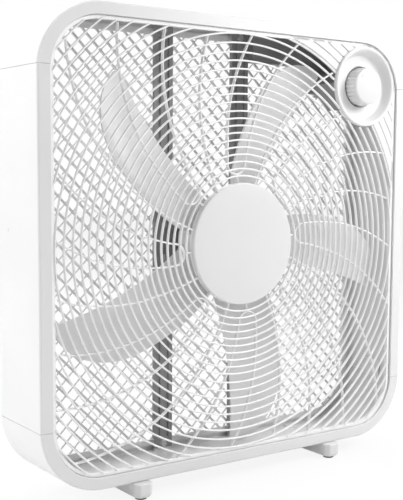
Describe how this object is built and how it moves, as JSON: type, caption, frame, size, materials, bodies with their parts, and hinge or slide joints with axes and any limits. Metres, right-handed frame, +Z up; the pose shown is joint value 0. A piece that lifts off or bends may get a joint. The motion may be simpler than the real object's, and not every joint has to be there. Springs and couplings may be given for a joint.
{
  "type": "box fan",
  "caption": "White box fan on two feet, with a spoked ring grille, a curved-blade fan that spins behind it and a fluted speed knob in a dished corner",
  "frame": {"origin": "on the floor, under the middle of the casing", "axes": "X to the viewer's right, Y to the back, Z up; the front faces -Y"},
  "size_m": [0.52, 0.117, 0.536],
  "materials": {
    "white_plastic": "semi-gloss moulded plastic",
    "disc_plastic": "satin moulded plastic",
    "blade_plastic": "satin, slightly milky plastic",
    "grey_rubber": "matte",
    "dark_steel": "satin dark grey paint",
    "dark_plastic": "matte",
    "black_plastic": "matte",
    "bare_steel": "plain",
    "copper": "enamelled copper wire"
  },
  "bodies": {
    "casing": {"top_shell": "white_plastic", "bottom_shell": "white_plastic", "left_side_panel": "white_plastic", "right_side_panel": "white_plastic", "foot_left": "white_plastic", "foot_right": "white_plastic", "foot_pads": "grey_rubber", "front_grille": "white_plastic", "front_grille_rings": "white_plastic", "hub_disc": "disc_plastic", "control_panel": "white_plastic", "rotary_switch": "black_plastic", "switch_housing": "dark_plastic", "wiring_cover": "dark_plastic", "run_capacitor": "black_plastic", "rear_grille": "white_plastic", "motor_bar_left": "dark_steel", "motor_bar_right": "dark_steel", "motor_mount": "dark_steel", "motor_rear_shell": "bare_steel", "motor_front_shell": "bare_steel", "stator_core": "bare_steel", "stator_winding": "copper"},
    "fan": {"fan": "blade_plastic", "rotor": "bare_steel"},
    "knob": {"speed_knob": "white_plastic", "switch_shaft": "bare_steel"}
  },
  "joints": [
    {"name": "fan_spin", "type": "hinge", "parent": "casing", "child": "fan", "pos_m": [0, 0, 0.2775], "axis": [0, 1, 0], "continuous": true},
    {"name": "knob_turn", "type": "hinge", "parent": "casing", "child": "knob", "pos_m": [0.1891, -0.045, 0.4684], "axis": [0, 1, 0], "range_deg": [0, 135]}
  ]
}
